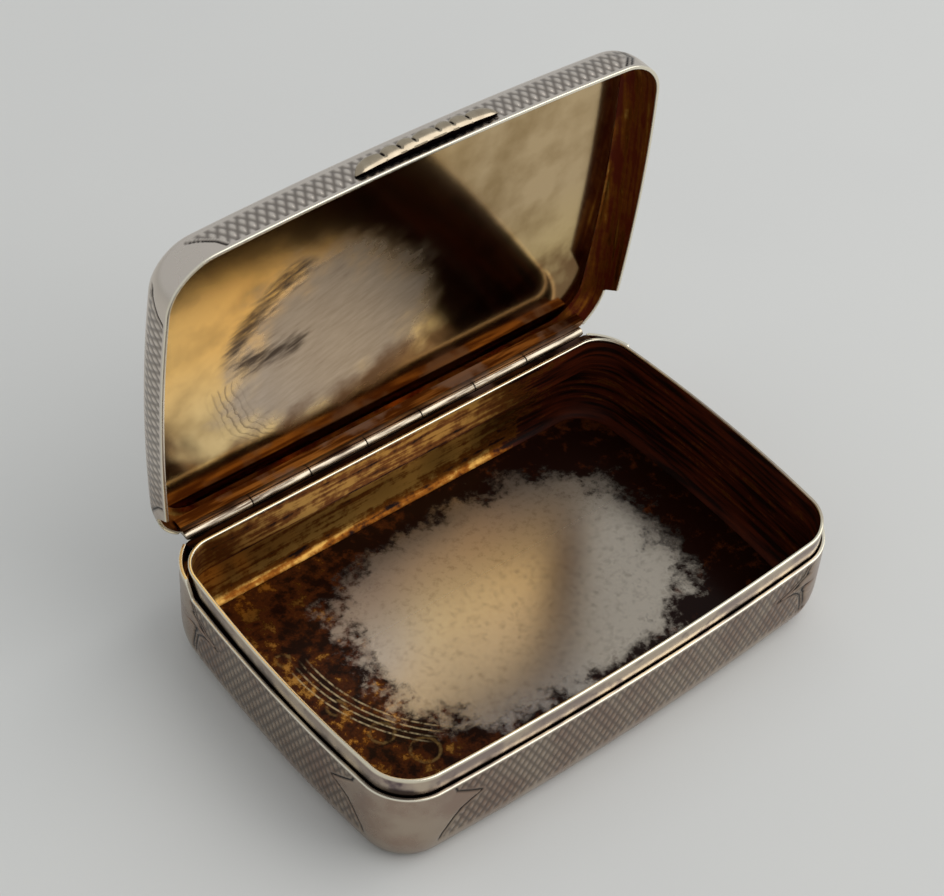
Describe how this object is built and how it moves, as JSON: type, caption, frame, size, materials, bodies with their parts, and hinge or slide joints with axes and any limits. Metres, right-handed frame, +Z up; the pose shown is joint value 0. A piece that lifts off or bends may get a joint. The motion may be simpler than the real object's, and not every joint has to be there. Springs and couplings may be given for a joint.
{
  "type": "snuff box",
  "caption": "Oblong silver snuff box with cushion corners, engine-turned sides, a lobed thumbpiece and a gilt inside; the lid stands open on a flush knuckle hinge.",
  "frame": {"origin": "centre of the flat underside of the base", "axes": "+X along the box's length, +Y towards the hinge at the back, +Z up out of the open mouth"},
  "size_m": [0.0802, 0.057, 0.0709],
  "materials": {
    "silver_engine_turned": "engine-turned silver, tarnished in the cuts",
    "silver_polished": "polished silver, worn",
    "silver_gilt": "gilding worn through to silver, stained brown"
  },
  "bodies": {
    "body": {"body_band": "silver_engine_turned", "body_base": "silver_gilt", "mouth_rim": "silver_polished", "body_hinge_bearer": "silver_gilt", "body_knuckle_1": "silver_polished", "body_knuckle_2": "silver_polished", "body_knuckle_3": "silver_polished", "hinge_pin": "silver_polished"},
    "lid": {"lid_band": "silver_engine_turned", "lid_plate": "silver_gilt", "lid_hinge_bearer": "silver_gilt", "lid_knuckle_1": "silver_polished", "lid_knuckle_2": "silver_polished", "lid_knuckle_3": "silver_polished", "lid_knuckle_4": "silver_polished", "pin_plug_left": "silver_polished", "pin_plug_right": "silver_polished", "thumbpiece": "silver_polished"}
  },
  "joints": [
    {"name": "lid_hinge", "type": "hinge", "parent": "body", "child": "lid", "pos_m": [0, 0.02633, 0.0162], "axis": [1, 0, 0], "range_deg": [0, 86]}
  ]
}
